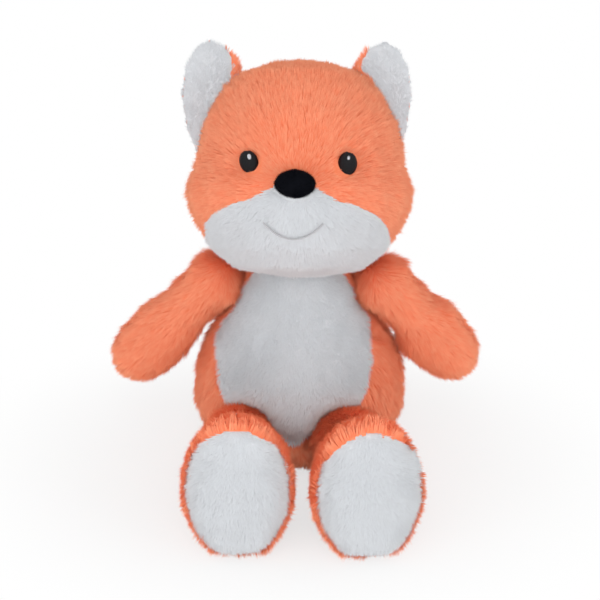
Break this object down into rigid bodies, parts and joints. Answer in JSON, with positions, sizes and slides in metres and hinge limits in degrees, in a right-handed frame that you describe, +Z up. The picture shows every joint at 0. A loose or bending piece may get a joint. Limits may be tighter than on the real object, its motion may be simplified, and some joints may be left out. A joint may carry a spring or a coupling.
{
  "type": "plush fox",
  "caption": "Seated stuffed fox with upright ears, white muzzle, belly and soles, and limbs, head and tail that flex at their seams",
  "frame": {"origin": "on the floor under the middle of the toy's bounding box", "axes": "+Z up, the fox looks along -Y, its tail points along +Y, and +X is on the viewer's right"},
  "size_m": [0.2129, 0.2881, 0.2386],
  "materials": {
    "orange_plush": "long soft pile, matt with a faint sheen",
    "white_plush": "short dense pile, matt",
    "black_velvet": "short black velvet",
    "dark_thread": "satin stitch embroidery",
    "grey_thread": "stitched thread",
    "fibre_filling": "loose polyester fibre"
  },
  "bodies": {
    "torso": {"torso_left": "orange_plush", "torso_right": "orange_plush", "belly_panel": "white_plush", "torso_filling": "fibre_filling"},
    "head": {"face_cover": "orange_plush", "head_back_left": "orange_plush", "head_back_right": "orange_plush", "muzzle_panel": "white_plush", "nose": "black_velvet", "eye_left": "dark_thread", "eye_right": "dark_thread", "eye_glint_left": "grey_thread", "eye_glint_right": "grey_thread", "mouth_thread": "grey_thread", "ear_left_front": "white_plush", "ear_left_back": "orange_plush", "ear_right_front": "white_plush", "ear_right_back": "orange_plush", "head_filling": "fibre_filling"},
    "arm_left": {"arm_left_front": "orange_plush", "arm_left_back": "orange_plush", "arm_left_filling": "fibre_filling"},
    "arm_right": {"arm_right_front": "orange_plush", "arm_right_back": "orange_plush", "arm_right_filling": "fibre_filling"},
    "leg_left": {"leg_left_inner": "orange_plush", "leg_left_outer": "orange_plush", "sole_left": "white_plush", "leg_left_filling": "fibre_filling"},
    "leg_right": {"leg_right_inner": "orange_plush", "leg_right_outer": "orange_plush", "sole_right": "white_plush", "leg_right_filling": "fibre_filling"},
    "tail": {"tail_cover": "orange_plush", "tail_tip": "white_plush", "tail_filling": "fibre_filling"}
  },
  "joints": [
    {"name": "neck_nod", "type": "hinge", "parent": "torso", "child": "head", "pos_m": [0.00319, 0.01598, 0.106], "axis": [1, 0, 0], "range_deg": [-12, 3], "stiffness_Nm_per_rad": 0.5},
    {"name": "shoulder_left_raise", "type": "hinge", "parent": "torso", "child": "arm_left", "pos_m": [-0.04764, 0.01207, 0.1025], "axis": [0, 1, 0], "range_deg": [-3, 40], "stiffness_Nm_per_rad": 0.2},
    {"name": "shoulder_right_raise", "type": "hinge", "parent": "torso", "child": "arm_right", "pos_m": [0.05317, 0.00591, 0.1025], "axis": [0, -1, 0], "range_deg": [-3, 40], "stiffness_Nm_per_rad": 0.2},
    {"name": "hip_left_swing", "type": "hinge", "parent": "torso", "child": "leg_left", "pos_m": [-0.02986, -0.0331, 0.0225], "axis": [1, 0, 0], "range_deg": [-3, 45], "stiffness_Nm_per_rad": 0.3},
    {"name": "hip_right_swing", "type": "hinge", "parent": "torso", "child": "leg_right", "pos_m": [0.03002, -0.03676, 0.0225], "axis": [1, 0, 0], "range_deg": [-3, 45], "stiffness_Nm_per_rad": 0.3},
    {"name": "tail_wag", "type": "hinge", "parent": "torso", "child": "tail", "pos_m": [0.00539, 0.05191, 0.026], "axis": [0, 0, 1], "range_deg": [-25, 25], "stiffness_Nm_per_rad": 0.1}
  ]
}
